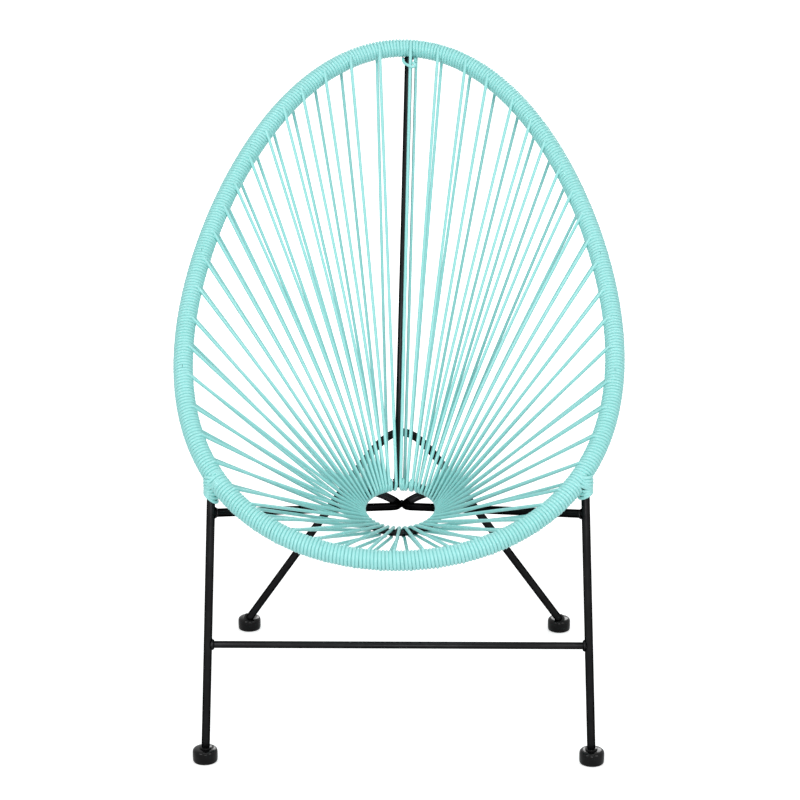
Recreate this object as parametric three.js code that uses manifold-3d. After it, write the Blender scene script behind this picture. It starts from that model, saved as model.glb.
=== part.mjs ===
// Acapulco chair: a welded frame of steel rod with an egg-shaped rim of steel tube, wound and strung
// with one long vinyl cord. Millimetres. The sitter faces -Y, X runs across the chair, +Z is up.
// The origin lies on the floor under the middle of the rim.
import * as THREE from 'three';
import { mergeVertices } from 'three/addons/utils/BufferGeometryUtils.js';
import Module from 'manifold-3d';

const wasm = await Module();
wasm.setup();

const { abs, atan2, cos, max, min, PI, round, sign, sin, sqrt } = Math;
const radians = (degrees) => degrees * PI / 180;
const vec = (x, y, z) => new THREE.Vector3(x, y, z);

// Fits
const FIT_GAP = 0.3;                   // air between two pieces that touch
const CUT_OVERRUN = 4;                 // how far a cut runs past the metal
const WELD_POINT = 0.001;              // corners nearer than this are one

// Rim: an egg of round tube that leans back
const RIM_LENGTH = 953.1;              // centre line, seat edge to top, along the slope
const RIM_WIDTH = 646.3;               // of the plain oval that the egg is drawn from
const RIM_CENTRE_HEIGHT = 650.6;
const RIM_TILT_DEG = 37.8;
const RIM_TUBE_DIAMETER = 19;
const EGG_TAPER_SHARE = 0.2045;        // how much narrower the top is than the seat end
const EGG_FULLNESS_SHARE = 0.0412;
const RIM_STEPS = 48;
const RIM_SIDES = 10;

// Hub: the small ring under the sitter that the strands hook round
const HUB_RADIUS = 62.6;
const HUB_ROD_DIAMETER = 10;
const HUB_SETBACK = -39.7;             // from the middle of the rim, along Y
const HUB_DROP = 338.9;                // under the middle of the rim
const HUB_TILT_DEG = 15.8;
const HUB_STEPS = 32;

// Rods of the under-frame
const ROD_DIAMETER = 12;
const ROD_SIDES = 12;
const LEG_PLACE_SHARE = 0.7567;        // of the way round from the rim's top to its seat edge
const LEG_HEAD_OUTSET = 5.3;           // how far a leg's head stands outside the rim's centre line
const LEG_HEAD_FORESET = 4.9;          // and in front of it
const FRONT_LEG_SPLAY = 19.8;          // how much further out a front leg's foot stands than its head
const STRETCHER_DIAMETER = 10;
const STRETCHER_HEIGHT = 186;
const REAR_FOOT_SPACING = 512.8;
const REAR_FOOT_SETBACK = 227.8;
const ARCH_RISE = 82.3;                // of its crown, over the hub
const ARCH_SHOULDER_WIDTH = 150;       // where the straight rear legs run into the crown
const ARCH_SHOULDER_DROP = 71;
const ARCH_BEND_STEPS = 10;
const BRACE_FRONT_DROP = 52.5;         // under a front leg's head
const BRACE_MIDDLE_SETBACK = 121.7;    // behind the hub
const BRACE_MIDDLE_DROP = 41.2;        // under the hub
const BRACE_REAR_DROP = 96;            // under the arch's crown
const BRACE_BEND_REACH = 28;           // from the corner to where each arm is straight
const BRACE_BEND_STEPS = 6;
const SPINE_SETBACK = 5;               // behind the line from the hub to the rim's top

// Foot caps
const FOOT_DIAMETER = 37;
const FOOT_HEIGHT = 20;
const FOOT_EDGE_RADIUS = 4;
const FOOT_BULGE = 0.8;
const FOOT_SOLE = 5;                   // plastic under the rod's end
const FOOT_COLLAR_DIAMETER = 20;
const FOOT_COLLAR_HEIGHT = 3;
const FOOT_SEGMENTS = 16;

// Cord
const CORD_DIAMETER = 5;
const CORD_SIDES = 6;
const WRAP_SIDES = 8;
const WRAP_RIB_DEPTH = 0.8;
const BACK_RIBS_PER_STRAND = 3;        // a strand returns to the rim one rib further on
const FRONT_RIBS_PER_STRAND = 2;

// Strands: each runs from the rim's face over the hub, round it and back to the rim's other face
const BACK_STRANDS = 18;               // on each side of the first one, behind the leg lashings
const BACK_SHIFT = 6;                  // the first one starts a little to one side of the top
const BACK_LASHING_ROOM = 18.4;      // along the rim, from the last one to a leg's head
const FRONT_STRANDS = 7;               // on each side of the middle one, in front of the lashings
const FRONT_LASHING_ROOM = 40.6;
const HUB_BACK_SPACING_DEG = 6.2;
const HUB_FRONT_SPACING_DEG = 8.55;
const HUB_SHIFT_DEG = 1.5;
const SPINE_PASS_DEG = 8.3;            // the returns part this far, to let the spine through
const SPINE_PASS_SPACING_DEG = 5.2;
const HOOK_CORNERS = 4;                // in the half turn round the hub
const BACK_SECTIONS = 9;
const FRONT_SECTIONS = 3;

// Lashing: the cord winds round the rim and a front leg's head together
const LASHING_TURNS = 4;
const LASHING_TURN_STEPS = 12;
const LASHING_START = 1;               // down the leg from its head
const LASHING_SLACK = 0.5;             // how loosely it lies on the steel
const LASHING_RIM_PITCH = 6.2;
const LASHING_LEG_PITCH = 8.2;

// Tie: the cord's end winds round the spine, just under the rim's wrap
const TIE_TURNS = 2;
const TIE_TURN_STEPS = 12;
const TIE_PITCH = 5.9;
const TIE_TAIL_REACH = 7;              // from the wrap to the upper turn

const STEEL = { color: 0x1b1b1d, roughness: 0.42, metalness: 0.3 };
const FOOT_PLASTIC = { color: 0x141415, roughness: 0.5, metalness: 0 };
const VINYL = { color: 0x8fe0d6, roughness: 0.28, metalness: 0 };

// Sizes that follow from the ones above
const ROD_RADIUS = ROD_DIAMETER / 2;
const CORD_RADIUS = CORD_DIAMETER / 2;
const TUBE_RADIUS = RIM_TUBE_DIAMETER / 2;
const WRAP_BORE_RADIUS = (TUBE_RADIUS + FIT_GAP) / cos(PI / WRAP_SIDES);
const WRAP_RADIUS = WRAP_BORE_RADIUS + CORD_DIAMETER - WRAP_RIB_DEPTH / 2;
const RIM_CORD_RADIUS = WRAP_BORE_RADIUS + CORD_RADIUS * cos(PI / CORD_SIDES);
const HUB_CORD_RADIUS = HUB_ROD_DIAMETER / 2 + FIT_GAP + CORD_RADIUS;

const group = new THREE.Group();

function addPiece(name, geometry, finish) {
  const piece = new THREE.Mesh(geometry, new THREE.MeshStandardMaterial(finish));
  piece.name = name;
  group.add(piece);
}

// Solids

function solidOf(geometry) {
  const bare = geometry.clone();
  bare.deleteAttribute('normal');
  bare.deleteAttribute('uv');
  const merged = mergeVertices(bare, WELD_POINT);
  return new wasm.Manifold(new wasm.Mesh({
    numProp: 3,
    vertProperties: new Float32Array(merged.attributes.position.array),
    triVerts: new Uint32Array(merged.index.array),
  }));
}

function geometryOf(solid) {
  const mesh = solid.getMesh();
  const geometry = new THREE.BufferGeometry();
  geometry.setAttribute('position', new THREE.Float32BufferAttribute(mesh.vertProperties, 3));
  geometry.setIndex(new THREE.Uint32BufferAttribute(mesh.triVerts, 1));
  geometry.computeVertexNormals();
  return geometry;
}

// What is left of a piece once its neighbours are cut out of it, without loose crumbs
function cutTo(geometry, tools) {
  let solid = solidOf(geometry);
  for (const tool of tools) solid = solid.subtract(solidOf(tool));
  const parts = solid.decompose();
  parts.sort((a, b) => b.volume() - a.volume());
  return geometryOf(parts[0]);
}

// A ring of points in the plane of two unit vectors
function ringAt(centre, across, up, radius, sides) {
  const ring = [];
  for (let j = 0; j < sides; j++) {
    const angle = 2 * PI * j / sides;
    const point = centre.clone().addScaledVector(across, radius * cos(angle));
    ring.push(point.addScaledVector(up, radius * sin(angle)));
  }
  return ring;
}

// A skin over rings of points; an open body gets a flat face at each end
function skinOver(rings, closed) {
  const sides = rings[0].length;
  const faces = [];
  const spans = closed ? rings.length : rings.length - 1;
  for (let i = 0; i < spans; i++) {
    const here = i * sides;
    const next = (i + 1) % rings.length * sides;
    for (let j = 0; j < sides; j++) {
      const k = (j + 1) % sides;
      faces.push(here + j, here + k, next + j);
      faces.push(here + k, next + k, next + j);
    }
  }
  const last = (rings.length - 1) * sides;
  for (let j = 1; j < sides - 1 && !closed; j++) {
    faces.push(0, j + 1, j);
    faces.push(last, last + j, last + j + 1);
  }
  const geometry = new THREE.BufferGeometry();
  const numbers = rings.flat().flatMap((point) => point.toArray());
  geometry.setAttribute('position', new THREE.Float32BufferAttribute(numbers, 3));
  geometry.setIndex(faces);
  geometry.computeVertexNormals();
  return geometry;
}

// A cord through the given points; its first ring has a corner towards the given direction
function cordThrough(points, towards) {
  const across = towards.clone();
  const rings = points.map((point, i) => {
    const tangent = headingAt(points, i);
    across.addScaledVector(tangent, -across.dot(tangent)).normalize();
    const up = tangent.clone().cross(across);
    return ringAt(point, across, up, CORD_RADIUS, CORD_SIDES);
  });
  return skinOver(rings, false);
}

// The direction of a row of points at one of them, half way between the runs that meet there
function headingAt(points, i) {
  const heading = vec(0, 0, 0);
  if (i > 0) heading.add(points[i].clone().sub(points[i - 1]).normalize());
  if (i < points.length - 1) heading.add(points[i + 1].clone().sub(points[i]).normalize());
  return heading.normalize();
}

// A path with stations only where it bends, so that its straight runs take one step each
class Stations extends THREE.Curve {
  constructor(points) {
    super();
    this.points = points;
  }

  getPoint(t) {
    const place = t * (this.points.length - 1);
    const i = min(Math.floor(place), this.points.length - 2);
    return this.points[i].clone().lerp(this.points[i + 1], place - i);
  }

  getPointAt(t) {
    return this.getPoint(t);
  }

  getTangentAt(t) {
    return headingAt(this.points, round(t * (this.points.length - 1)));
  }
}

function rodThrough(points, diameter) {
  const outline = [];
  for (let j = 0; j < ROD_SIDES; j++) {
    const angle = 2 * PI * j / ROD_SIDES;
    outline.push(new THREE.Vector2(diameter / 2 * cos(angle), diameter / 2 * sin(angle)));
  }
  const steps = points.length - 1;
  return new THREE.ExtrudeGeometry(new THREE.Shape(outline),
    { steps, bevelEnabled: false, extrudePath: new Stations(points) });
}

// The space that a rod and its air gap take up, to cut out of what is welded to it
function roomFor(from, to, diameter) {
  const along = to.clone().sub(from).normalize();
  const start = from.clone().addScaledVector(along, -CUT_OVERRUN);
  const end = to.clone().addScaledVector(along, CUT_OVERRUN);
  return rodThrough([start, end], diameter + 2 * FIT_GAP);
}

// The corner between two straight arms, rounded as a bender leaves it
function roundedCorner(from, corner, to, reach, steps) {
  const start = corner.clone().addScaledVector(from.clone().sub(corner).normalize(), reach);
  const end = corner.clone().addScaledVector(to.clone().sub(corner).normalize(), reach);
  return new THREE.QuadraticBezierCurve3(start, corner, end).getPoints(steps);
}

// The rim's centre line

const rimTilt = radians(RIM_TILT_DEG);
const rimUphill = vec(0, cos(rimTilt), sin(rimTilt));
const rimFace = vec(0, -sin(rimTilt), cos(rimTilt));

// Angle 0 is the top and half a turn is the seat's front edge
function eggPoint(angle) {
  const taper = 1 - EGG_TAPER_SHARE * cos(angle) + EGG_FULLNESS_SHARE * cos(2 * angle);
  const point = vec(RIM_WIDTH / 2 * sin(angle) * taper, 0, RIM_CENTRE_HEIGHT);
  return point.addScaledVector(rimUphill, RIM_LENGTH / 2 * cos(angle));
}

const EGG_SAMPLES = 1440;
const eggLengths = [0];
for (let i = 1; i <= EGG_SAMPLES; i++) {
  const step = eggPoint(2 * PI * i / EGG_SAMPLES).distanceTo(eggPoint(2 * PI * (i - 1) / EGG_SAMPLES));
  eggLengths.push(eggLengths[i - 1] + step);
}
const rimPerimeter = eggLengths[EGG_SAMPLES];

// Places along the rim, measured from its top
const legPlace = LEG_PLACE_SHARE * rimPerimeter / 2;
const backSpacing = (legPlace - BACK_LASHING_ROOM) / BACK_STRANDS;
const frontSpacing = (rimPerimeter / 2 - legPlace - FRONT_LASHING_ROOM) / FRONT_STRANDS;
const backRib = backSpacing / BACK_RIBS_PER_STRAND;
const frontRib = frontSpacing / FRONT_RIBS_PER_STRAND;

// A place on the centre line, by its length from the top towards +X and round
function rimAt(length) {
  const wanted = (length % rimPerimeter + rimPerimeter) % rimPerimeter;
  let low = 0;
  let high = EGG_SAMPLES;
  while (high - low > 1) {
    const middle = (low + high) >> 1;
    if (eggLengths[middle] <= wanted) low = middle;
    else high = middle;
  }
  const part = (wanted - eggLengths[low]) / (eggLengths[high] - eggLengths[low]);
  const angle = 2 * PI * (low + part) / EGG_SAMPLES;
  const nudge = PI / EGG_SAMPLES;
  const tangent = eggPoint(angle + nudge).sub(eggPoint(angle - nudge)).normalize();
  return { point: eggPoint(angle), tangent, outward: rimFace.clone().cross(tangent).normalize() };
}

const rimStations = [];
for (let i = 0; i < RIM_STEPS; i++) rimStations.push(rimPerimeter * i / RIM_STEPS);

// A place on the straight facet between two of the tube's stations
function facetAt(length) {
  const step = rimPerimeter / RIM_STEPS;
  const first = Math.floor(length / step);
  const from = rimAt(first * step);
  const to = rimAt((first + 1) * step);
  const share = length / step - first;
  const tangent = to.point.clone().sub(from.point).normalize();
  const outward = from.outward.lerp(to.outward, share).normalize();
  return { point: from.point.lerp(to.point, share), tangent, outward };
}

function rimRing(radius) {
  const rings = rimStations.map((length) => {
    const { point, outward } = rimAt(length);
    return ringAt(point, outward, rimFace, radius, RIM_SIDES);
  });
  return skinOver(rings, true);
}

// The hub

const hubTilt = radians(HUB_TILT_DEG);
const hubBack = vec(0, cos(hubTilt), sin(hubTilt));
const hubUp = vec(0, -sin(hubTilt), cos(hubTilt));
const hubCentre = vec(0, HUB_SETBACK, RIM_CENTRE_HEIGHT - HUB_DROP);

// Angle 0 points to +X and a quarter turn points to the back
function hubAt(angle) {
  const outward = vec(cos(angle), 0, 0).addScaledVector(hubBack, sin(angle));
  const tangent = vec(-sin(angle), 0, 0).addScaledVector(hubBack, cos(angle));
  return { point: hubCentre.clone().addScaledVector(outward, HUB_RADIUS), tangent, outward };
}

function hubRing(radius) {
  const ring = new THREE.TorusGeometry(HUB_RADIUS, radius, RIM_SIDES, HUB_STEPS);
  ring.rotateX(hubTilt);
  ring.translate(hubCentre.x, hubCentre.y, hubCentre.z);
  return ring;
}

// Under-frame. A side of 1 is towards +X and -1 is towards -X.

const rodEndHeight = FOOT_SOLE + FIT_GAP;
const legJoint = rimAt(legPlace);

function legHead(side) {
  const { x, y, z } = legJoint.point;
  return vec(side * (x + LEG_HEAD_OUTSET), y - LEG_HEAD_FORESET, z);
}

function frontLegAt(side, height) {
  const head = legHead(side);
  const foot = vec(head.x + side * FRONT_LEG_SPLAY, head.y, 0);
  return foot.lerp(head, height / head.z);
}

function frontLeg(side) {
  const rod = rodThrough([frontLegAt(side, rodEndHeight), legHead(side)], ROD_DIAMETER);
  return cutTo(rod, [rimRing(TUBE_RADIUS + FIT_GAP)]);
}

function frontLegRoom(side) {
  return roomFor(frontLegAt(side, 0), legHead(side), ROD_DIAMETER);
}

function frontStretcher() {
  const ends = [frontLegAt(-1, STRETCHER_HEIGHT), frontLegAt(1, STRETCHER_HEIGHT)];
  return cutTo(rodThrough(ends, STRETCHER_DIAMETER), [frontLegRoom(-1), frontLegRoom(1)]);
}

const spine = spineLine();

function spineLine() {
  const hub = hubAt(PI / 2).point;
  const head = rimAt(0).point;
  const along = head.clone().sub(hub).normalize();
  const behind = vec(0, along.z, -along.y);
  hub.addScaledVector(behind, SPINE_SETBACK);
  head.addScaledVector(behind, SPINE_SETBACK);
  return { hub, head, along, behind };
}

function backSpine() {
  const rod = rodThrough([spine.hub, spine.head], ROD_DIAMETER);
  const rimRoom = rimRing(TUBE_RADIUS + FIT_GAP);
  const hubRoom = hubRing(HUB_ROD_DIAMETER / 2 + FIT_GAP);
  return cutTo(rod, [rimRoom, hubRoom]);
}

// The crown of the rear arch touches the spine from behind
const archHeight = hubCentre.z + ARCH_RISE;
const shoulderHeight = archHeight - ARCH_SHOULDER_DROP;
const archCrown = spine.hub.clone().addScaledVector(spine.behind, ROD_DIAMETER + FIT_GAP);
archCrown.addScaledVector(spine.along, (archHeight - archCrown.z) / spine.along.z);

function archPoint(x, height) {
  const share = height / archCrown.z;
  return vec(x, REAR_FOOT_SETBACK + (archCrown.y - REAR_FOOT_SETBACK) * share, height);
}

function archLegAt(side, height) {
  const foot = archPoint(side * REAR_FOOT_SPACING / 2, 0);
  return foot.lerp(archPoint(side * ARCH_SHOULDER_WIDTH / 2, shoulderHeight), height / shoulderHeight);
}

// The crown is one smooth bend whose handles lie on the legs' lines, long enough to reach its height
function rearLegArch() {
  const left = archLegAt(-1, shoulderHeight);
  const right = archLegAt(1, shoulderHeight);
  const lift = (side) => archLegAt(side, archHeight + ARCH_SHOULDER_DROP / 3);
  const crown = new THREE.CubicBezierCurve3(left, lift(-1), lift(1), right).getPoints(ARCH_BEND_STEPS);
  return rodThrough([archLegAt(-1, rodEndHeight), ...crown, archLegAt(1, rodEndHeight)], ROD_DIAMETER);
}

// A brace runs from the front leg under the hub, bends in the middle and goes out to the rear leg
function brace(side) {
  const front = frontLegAt(side, legHead(side).z - BRACE_FRONT_DROP);
  const rear = archLegAt(side, archHeight - BRACE_REAR_DROP);
  const corner = hubCentre.clone().add(vec(0, BRACE_MIDDLE_SETBACK, -BRACE_MIDDLE_DROP));
  const bend = roundedCorner(front, corner, rear, BRACE_BEND_REACH, BRACE_BEND_STEPS);
  const clearance = side * (ROD_RADIUS + FIT_GAP) - bend[BRACE_BEND_STEPS / 2].x;
  for (const point of bend) point.x += clearance;
  const legRoom = roomFor(archLegAt(side, 0), archLegAt(side, shoulderHeight), ROD_DIAMETER);
  return cutTo(rodThrough([front, ...bend, rear], ROD_DIAMETER), [frontLegRoom(side), legRoom]);
}

// A cap with bulging sides, rounded edges and a collar, over a socket for the rod's end
function footCap(foot, above) {
  const inner = FOOT_DIAMETER / 2 - FOOT_BULGE - FOOT_EDGE_RADIUS;
  const profile = [new THREE.Vector2(0, 0)];
  const roundEdge = (height, from) => {
    for (let i = 0; i <= 2; i++) {
      const angle = from + PI / 2 * i / 2;
      const x = inner + FOOT_EDGE_RADIUS * cos(angle);
      profile.push(new THREE.Vector2(x, height + FOOT_EDGE_RADIUS * sin(angle)));
    }
  };
  roundEdge(FOOT_EDGE_RADIUS, -PI / 2);
  profile.push(new THREE.Vector2(FOOT_DIAMETER / 2, FOOT_HEIGHT / 2));
  roundEdge(FOOT_HEIGHT - FOOT_EDGE_RADIUS, 0);
  const top = FOOT_HEIGHT + FOOT_COLLAR_HEIGHT;
  profile.push(new THREE.Vector2(FOOT_COLLAR_DIAMETER / 2, FOOT_HEIGHT));
  profile.push(new THREE.Vector2(FOOT_COLLAR_DIAMETER / 2, top));
  profile.push(new THREE.Vector2(0, top));
  const cap = new THREE.LatheGeometry(profile, FOOT_SEGMENTS);
  cap.rotateX(PI / 2);
  cap.translate(foot.x, foot.y, 0);
  const along = above.clone().sub(foot).normalize();
  const rise = (height) => foot.clone().addScaledVector(along, height / along.z);
  const socket = rodThrough([rise(FOOT_SOLE), rise(top + CUT_OVERRUN)], ROD_DIAMETER + 2 * FIT_GAP);
  return cutTo(cap, [socket]);
}

// Strands

// Where the strands of the back and sides start and end, in order round the rim
function backStrands() {
  const lowest = legPlace - ROD_RADIUS - CORD_DIAMETER;
  const strands = [];
  for (let k = -BACK_STRANDS; k <= BACK_STRANDS; k++) {
    const start = BACK_SHIFT + backSpacing * k;
    const way = k < 0 ? -1 : 1;
    const end = way * min(abs(start + way * backRib), lowest);
    const hubStart = PI / 2 + radians(HUB_SHIFT_DEG - HUB_BACK_SPACING_DEG * k);
    strands.push({ start, end, hubStart, hubEnd: PI / 2 - spinePass(k + 1 / 2) });
  }
  return strands;
}

// The returns part round the spine and fall back to even spacing further out
function spinePass(place) {
  const even = HUB_BACK_SPACING_DEG * abs(place);
  const parted = SPINE_PASS_DEG + SPINE_PASS_SPACING_DEG * (abs(place) - 1 / 2);
  return sign(place) * radians(max(even, parted));
}

// The same for the strands at the seat's front, from +X to -X
function frontStrands() {
  const last = rimPerimeter - lashingEnd() - CORD_DIAMETER;
  const strands = [];
  for (let k = -FRONT_STRANDS; k <= FRONT_STRANDS; k++) {
    const start = rimPerimeter / 2 + frontSpacing * k;
    const end = min(start + frontRib, last);
    const hubStart = -PI / 2 - radians(HUB_FRONT_SPACING_DEG * k);
    strands.push({ start, end, hubStart, hubEnd: hubStart - radians(HUB_FRONT_SPACING_DEG / 2) });
  }
  return strands;
}

// The side of a tube that a taut strand touches: the upper face for 1, the lower face for -1
function touchingSide(tangent, along, upward, face) {
  const side = tangent.clone().cross(along).normalize();
  return side.dot(upward) * face < 0 ? side.negate() : side;
}

// One end of a strand: its point on the rim's wrap and its side of the hub's rod
function strandEnd(rim, hub, face) {
  const along = hub.point.clone().sub(rim.point).normalize();
  const rimSide = touchingSide(rim.tangent, along, rimFace, face);
  const hubSide = touchingSide(hub.tangent, along, hubUp, face);
  return { point: rim.point.clone().addScaledVector(rimSide, RIM_CORD_RADIUS), hubSide };
}

// How far round the hub's rod a side lies, from its top by way of the ring's inside
function hookAngle(hub, side) {
  const angle = atan2(-side.dot(hub.outward), side.dot(hubUp));
  return angle < -PI / 2 ? angle + 2 * PI : angle;
}

// The strand's centre line: a taut run, corners round the hub's rod, and the taut run back
function strandPath({ start, end, hubStart, hubEnd }) {
  const down = strandEnd(rimAt(start), hubAt(hubStart), 1);
  const up = strandEnd(rimAt(end), hubAt(hubEnd), -1);
  const firstTurn = hookAngle(hubAt(hubStart), down.hubSide);
  const lastTurn = hookAngle(hubAt(hubEnd), up.hubSide);
  const step = (lastTurn - firstTurn) / HOOK_CORNERS;
  const reach = HUB_CORD_RADIUS / cos(step / 2);
  const points = [down.point];
  for (let i = 0; i < HOOK_CORNERS; i++) {
    const hub = hubAt(hubStart + (hubEnd - hubStart) * (i + 1 / 2) / HOOK_CORNERS);
    const turn = firstTurn + step * (i + 1 / 2);
    const corner = hub.point.addScaledVector(hubUp, reach * cos(turn));
    points.push(corner.addScaledVector(hub.outward, -reach * sin(turn)));
  }
  points.push(up.point);
  return points;
}

// The wrap on a stretch of the rim: a ribbed sleeve whose bore follows the tube's facets
function wrapSleeve({ from, to, rib, firstRib }) {
  const outerRing = (length, radius) => {
    const { point, outward } = rimAt(length);
    return ringAt(point, outward, rimFace, radius, WRAP_SIDES);
  };
  const outer = [outerRing(from, WRAP_RADIUS - WRAP_RIB_DEPTH)];
  const halfRib = rib / 2;
  const first = Math.ceil((from + CORD_RADIUS - firstRib) / halfRib);
  for (let i = first; firstRib + i * halfRib < to - CORD_RADIUS; i++) {
    outer.push(outerRing(firstRib + i * halfRib, i % 2 ? WRAP_RADIUS : WRAP_RADIUS - WRAP_RIB_DEPTH));
  }
  outer.push(outerRing(to, WRAP_RADIUS - WRAP_RIB_DEPTH));
  const bore = boreStations(from, to).map((length) => {
    const { point, outward } = facetAt(length);
    return ringAt(point, outward, rimFace, WRAP_BORE_RADIUS, WRAP_SIDES);
  });
  return skinOver([...outer, ...bore.reverse()], true);
}

function boreStations(from, to) {
  const step = rimPerimeter / RIM_STEPS;
  const stations = [from];
  for (let i = Math.ceil(from / step); i * step < to; i++) stations.push(i * step);
  if (stations[1] === from) stations.shift();
  stations.push(to);
  return stations;
}

// A section of the seat: a stretch of the rim's wrap with the strands that leave it, all one cord
function seatSection(section) {
  let solid = solidOf(wrapSleeve(section));
  for (const strand of section.strands) {
    const cord = cordThrough(strandPath(strand), rimAt(strand.start).tangent);
    solid = solid.add(solidOf(cord));
  }
  if (section.from < 0 && section.to > 0) {
    solid = solid.subtract(solidOf(roomFor(spine.hub, spine.head, ROD_DIAMETER)));
  }
  return geometryOf(solid);
}

// Sections meet half way between the last strand end of one and the first of the next. Ribs keep
// step with the strands, which leave the wrap between two rings of a rib.
function sectionsOf(strands, count, from, to, rib) {
  const sections = [];
  const firstRib = strands[0].start + rib / 4;
  const firstOf = (section) => round(strands.length * section / count);
  let start = from;
  for (let i = 0; i < count; i++) {
    const own = strands.slice(firstOf(i), firstOf(i + 1));
    const last = own[own.length - 1];
    const next = strands[firstOf(i + 1)];
    const meet = next ? (max(last.start, last.end) + min(next.start, next.end)) / 2 : to;
    const end = next ? meet - FIT_GAP / 2 : to;
    sections.push({ from: start, to: end, rib, firstRib, strands: own });
    start = meet + FIT_GAP / 2;
  }
  return sections;
}

// Lashings

// The rim and a leg's head: where their centre lines pass closest, and what is square to both
function lashingFrame(side) {
  const rim = facetAt(side * legPlace);
  const along = rim.tangent.clone().multiplyScalar(side);
  const down = frontLegAt(side, 0).sub(legHead(side)).normalize();
  const level = along.clone().cross(down).normalize();
  const apart = legHead(side).sub(rim.point);
  const lean = along.dot(down);
  const square = 1 - lean * lean;
  const rimShift = (apart.dot(along) - lean * apart.dot(down)) / square;
  const legShift = (lean * apart.dot(along) - apart.dot(down)) / square;
  const legPoint = legHead(side).addScaledVector(down, legShift);
  return { side, rimPlace: legPlace + rimShift, along, legPoint, down, level, lean };
}

// A turn's plane is square to the rim at first and tips towards the leg, turn by turn
function lashingPoint(frame, turn, angle) {
  const rimPlace = frame.rimPlace + LASHING_START * frame.lean + LASHING_RIM_PITCH * turn;
  const rimCentre = facetAt(frame.side * rimPlace).point;
  const legCentre = frame.legPoint.clone();
  legCentre.addScaledVector(frame.down, LASHING_START + LASHING_LEG_PITCH * turn);
  const towards = legCentre.clone().sub(rimCentre);
  towards.addScaledVector(frame.level, -towards.dot(frame.level)).normalize();
  const square = frame.level.clone().cross(towards).normalize();
  const reach = (centre, steelRadius, axis) => {
    const radius = (steelRadius + LASHING_SLACK + CORD_RADIUS) / cos(PI / LASHING_TURN_STEPS);
    const stretch = 1 / abs(square.dot(axis));
    const flat = radius * cos(angle);
    const deep = radius * stretch * sin(angle);
    const size = sqrt(flat * flat + deep * deep);
    const point = centre.clone().addScaledVector(frame.level, radius * flat / size);
    return point.addScaledVector(towards, radius * stretch * deep / size);
  };
  const heading = frame.level.clone().multiplyScalar(cos(angle)).addScaledVector(towards, sin(angle));
  const onRim = reach(rimCentre, TUBE_RADIUS, frame.along);
  const onLeg = reach(legCentre, ROD_RADIUS, frame.down);
  return onLeg.dot(heading) > onRim.dot(heading) ? onLeg : onRim;
}

// The lashing starts and ends on the rim's inner side, away from the leg
function lashingPath(side) {
  const frame = lashingFrame(side);
  const steps = LASHING_TURNS * LASHING_TURN_STEPS;
  const points = [];
  for (let i = 0; i <= steps; i++) {
    const angle = 2 * PI * i / LASHING_TURN_STEPS - PI / 2;
    points.push(lashingPoint(frame, i / LASHING_TURN_STEPS, side * angle + (side < 0 ? PI : 0)));
  }
  points.unshift(tailFrom(points[0], -side));
  points.push(tailFrom(points[points.length - 1], side));
  return points;
}

// A straight tail of one cord diameter along the rim, square to the wrap that it meets
function tailFrom(point, way) {
  const { tangent } = rimAt(placeBeside(point));
  return point.clone().addScaledVector(tangent, way * CORD_DIAMETER);
}

// The place on the rim's centre line that lies beside a point
function placeBeside(point) {
  let place = sign(point.x) * legPlace;
  for (let i = 0; i < 4; i++) {
    const rim = rimAt(place);
    place += point.clone().sub(rim.point).dot(rim.tangent);
  }
  return place;
}

function lashingBegin() {
  return placeBeside(lashingPath(1)[0]) - FIT_GAP;
}

function lashingEnd() {
  return placeBeside(lashingPath(1).pop()) + FIT_GAP;
}

// Tie

function tiePath() {
  const start = WRAP_RADIUS + FIT_GAP + TIE_TAIL_REACH;
  const radius = ROD_RADIUS + FIT_GAP + CORD_RADIUS;
  const across = vec(1, 0, 0);
  const steps = TIE_TURNS * TIE_TURN_STEPS;
  const points = [];
  for (let i = 0; i <= steps; i++) {
    const angle = 2 * PI * i / TIE_TURN_STEPS;
    const point = spine.head.clone();
    point.addScaledVector(spine.along, -start - TIE_PITCH * i / TIE_TURN_STEPS);
    point.addScaledVector(across, -radius * cos(angle));
    points.push(point.addScaledVector(spine.behind, -radius * sin(angle)));
  }
  points.unshift(points[0].clone().addScaledVector(spine.along, CORD_DIAMETER));
  points.push(points[points.length - 1].clone().addScaledVector(spine.along, -CORD_DIAMETER));
  return points;
}

// The least air between two stretches of cord that are not next to each other along it
function leastGap(path, nearby) {
  let least = Infinity;
  for (let i = 0; i < path.length; i++) {
    for (let j = i + nearby; j < path.length; j++) {
      least = min(least, path[i].distanceTo(path[j]) - CORD_DIAMETER);
    }
  }
  return least;
}

function printGap(name, path, turnSteps) {
  console.log(`${name}: least gap to itself ${leastGap(path, round(turnSteps / 2)).toFixed(2)} mm`);
}

addPiece('rim_tube', rimRing(TUBE_RADIUS), STEEL);
addPiece('hub_ring', hubRing(HUB_ROD_DIAMETER / 2), STEEL);
addPiece('back_spine', backSpine(), STEEL);
addPiece('rear_leg_arch', rearLegArch(), STEEL);
addPiece('front_stretcher', frontStretcher(), STEEL);
for (const [name, side] of [['left', 1], ['right', -1]]) {
  addPiece(`front_leg_${name}`, frontLeg(side), STEEL);
  addPiece(`brace_${name}`, brace(side), STEEL);
  addPiece(`front_foot_cap_${name}`, footCap(frontLegAt(side, 0), legHead(side)), FOOT_PLASTIC);
  addPiece(`rear_foot_cap_${name}`, footCap(archLegAt(side, 0), archLegAt(side, archHeight)), FOOT_PLASTIC);
  const lashing = lashingPath(side);
  addPiece(`leg_lashing_${name}`, cordThrough(lashing, lashingFrame(side).level), VINYL);
  printGap(`leg_lashing_${name}`, lashing, LASHING_TURN_STEPS);
}

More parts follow.
